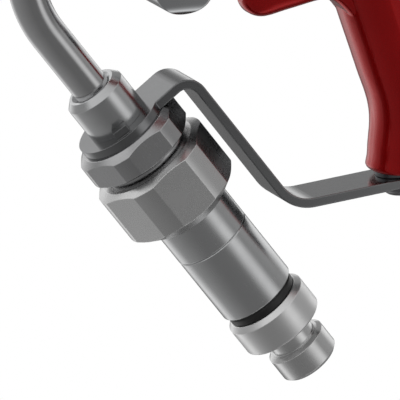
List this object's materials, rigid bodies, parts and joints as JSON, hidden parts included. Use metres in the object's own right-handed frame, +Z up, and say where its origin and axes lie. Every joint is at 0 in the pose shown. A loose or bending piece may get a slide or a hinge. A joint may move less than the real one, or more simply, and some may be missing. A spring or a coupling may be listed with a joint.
{
  "type": "airless paint sprayer",
  "caption": "Hand-held airless paint spray gun with an in-line filter on its fluid tube, a sprung trigger, a reversible tip and a swivel hose inlet.",
  "frame": {"origin": "the middle of the hand grip, on the gun's middle plane, where the palm closes on it", "axes": "+Z up, -X towards the nozzle along the barrel, +Y to the gun's right side as its holder sees it"},
  "size_m": [0.1969, 0.0428, 0.1837],
  "materials": {
    "red_casting": "gloss",
    "bright_steel": "satin",
    "strap_steel": "satin",
    "dark_steel": "satin",
    "brass_parts": "satin",
    "black_rubber": "matt",
    "screen_steel": "woven",
    "spring_steel": "drawn",
    "white_plastic": "matt",
    "carbide": "ground",
    "trigger_chrome": "polished",
    "lock_plastic": "matt",
    "black_plastic": "matt",
    "tip_plastic": "matt"
  },
  "bodies": {
    "gun": {"gun_body": "red_casting", "fluid_head": "bright_steel", "tube_nut": "bright_steel", "tube_ferrule": "brass_parts", "fluid_tube": "bright_steel", "tube_sleeve": "bright_steel", "guard_strap": "strap_steel", "strap_spacer": "dark_steel", "strap_screw": "dark_steel", "jam_nut": "bright_steel", "thrust_ring": "bright_steel", "filter_cap_nut": "bright_steel", "filter_body_upper": "bright_steel", "filter_body_lower": "bright_steel", "filter_element": "screen_steel", "filter_spring": "spring_steel", "filter_gasket": "black_rubber", "swivel_collar": "bright_steel", "swivel_seal": "black_rubber", "swivel_washer": "white_plastic", "seat_housing": "bright_steel", "needle_seat": "carbide", "seat_gasket": "white_plastic", "needle_packing": "white_plastic", "packing_nut": "brass_parts", "needle_spring": "spring_steel", "rear_cap": "bright_steel", "pivot_screw": "dark_steel", "pivot_nut": "dark_steel", "guard_nut": "black_plastic"},
    "trigger": {"trigger": "trigger_chrome", "lock_pin": "dark_steel"},
    "needle": {"needle_rod": "bright_steel", "needle_ball": "carbide", "puller_pin": "dark_steel"},
    "trigger_lock": {"trigger_lock": "lock_plastic"},
    "guard": {"tip_guard": "black_plastic", "tip_seal": "black_rubber"},
    "spray_tip": {"spray_tip": "bright_steel", "tip_handle": "tip_plastic"},
    "hose_swivel": {"swivel_stem": "bright_steel", "stem_o_ring": "black_rubber"}
  },
  "joints": [
    {"name": "trigger_pull", "type": "hinge", "parent": "gun", "child": "trigger", "pos_m": [-0.05, 0, 0.075], "axis": [0, -1, 0], "range_deg": [0, 15], "stiffness_Nm_per_rad": 0.6, "springref_deg": -17.19},
    {"name": "needle_stroke", "type": "slide", "parent": "gun", "child": "needle", "axis": [1, 0, 0], "range_m": [0, 0.0033], "deforming": ["needle_spring"]},
    {"name": "trigger_lock_swing", "type": "hinge", "parent": "trigger", "child": "trigger_lock", "pos_m": [-0.0505, 0, 0.044], "axis": [0, 1, 0], "range_deg": [-88, 0]},
    {"name": "guard_turn", "type": "hinge", "parent": "gun", "child": "guard", "pos_m": [-0.14, 0, 0.064], "axis": [1, 0, 0], "range_deg": [0, 90]},
    {"name": "tip_turn", "type": "hinge", "parent": "guard", "child": "spray_tip", "pos_m": [-0.144, 0, 0.064], "axis": [0, 0, 1], "range_deg": [0, 180]},
    {"name": "hose_swivel_spin", "type": "hinge", "parent": "gun", "child": "hose_swivel", "pos_m": [-0.03137, 0, -0.07552], "axis": [-0.6157, 0, 0.788], "continuous": true}
  ],
  "couplings": [
    {"joint": "needle_stroke", "follows": "trigger_pull", "m_per_rad": 0.0125}
  ]
}
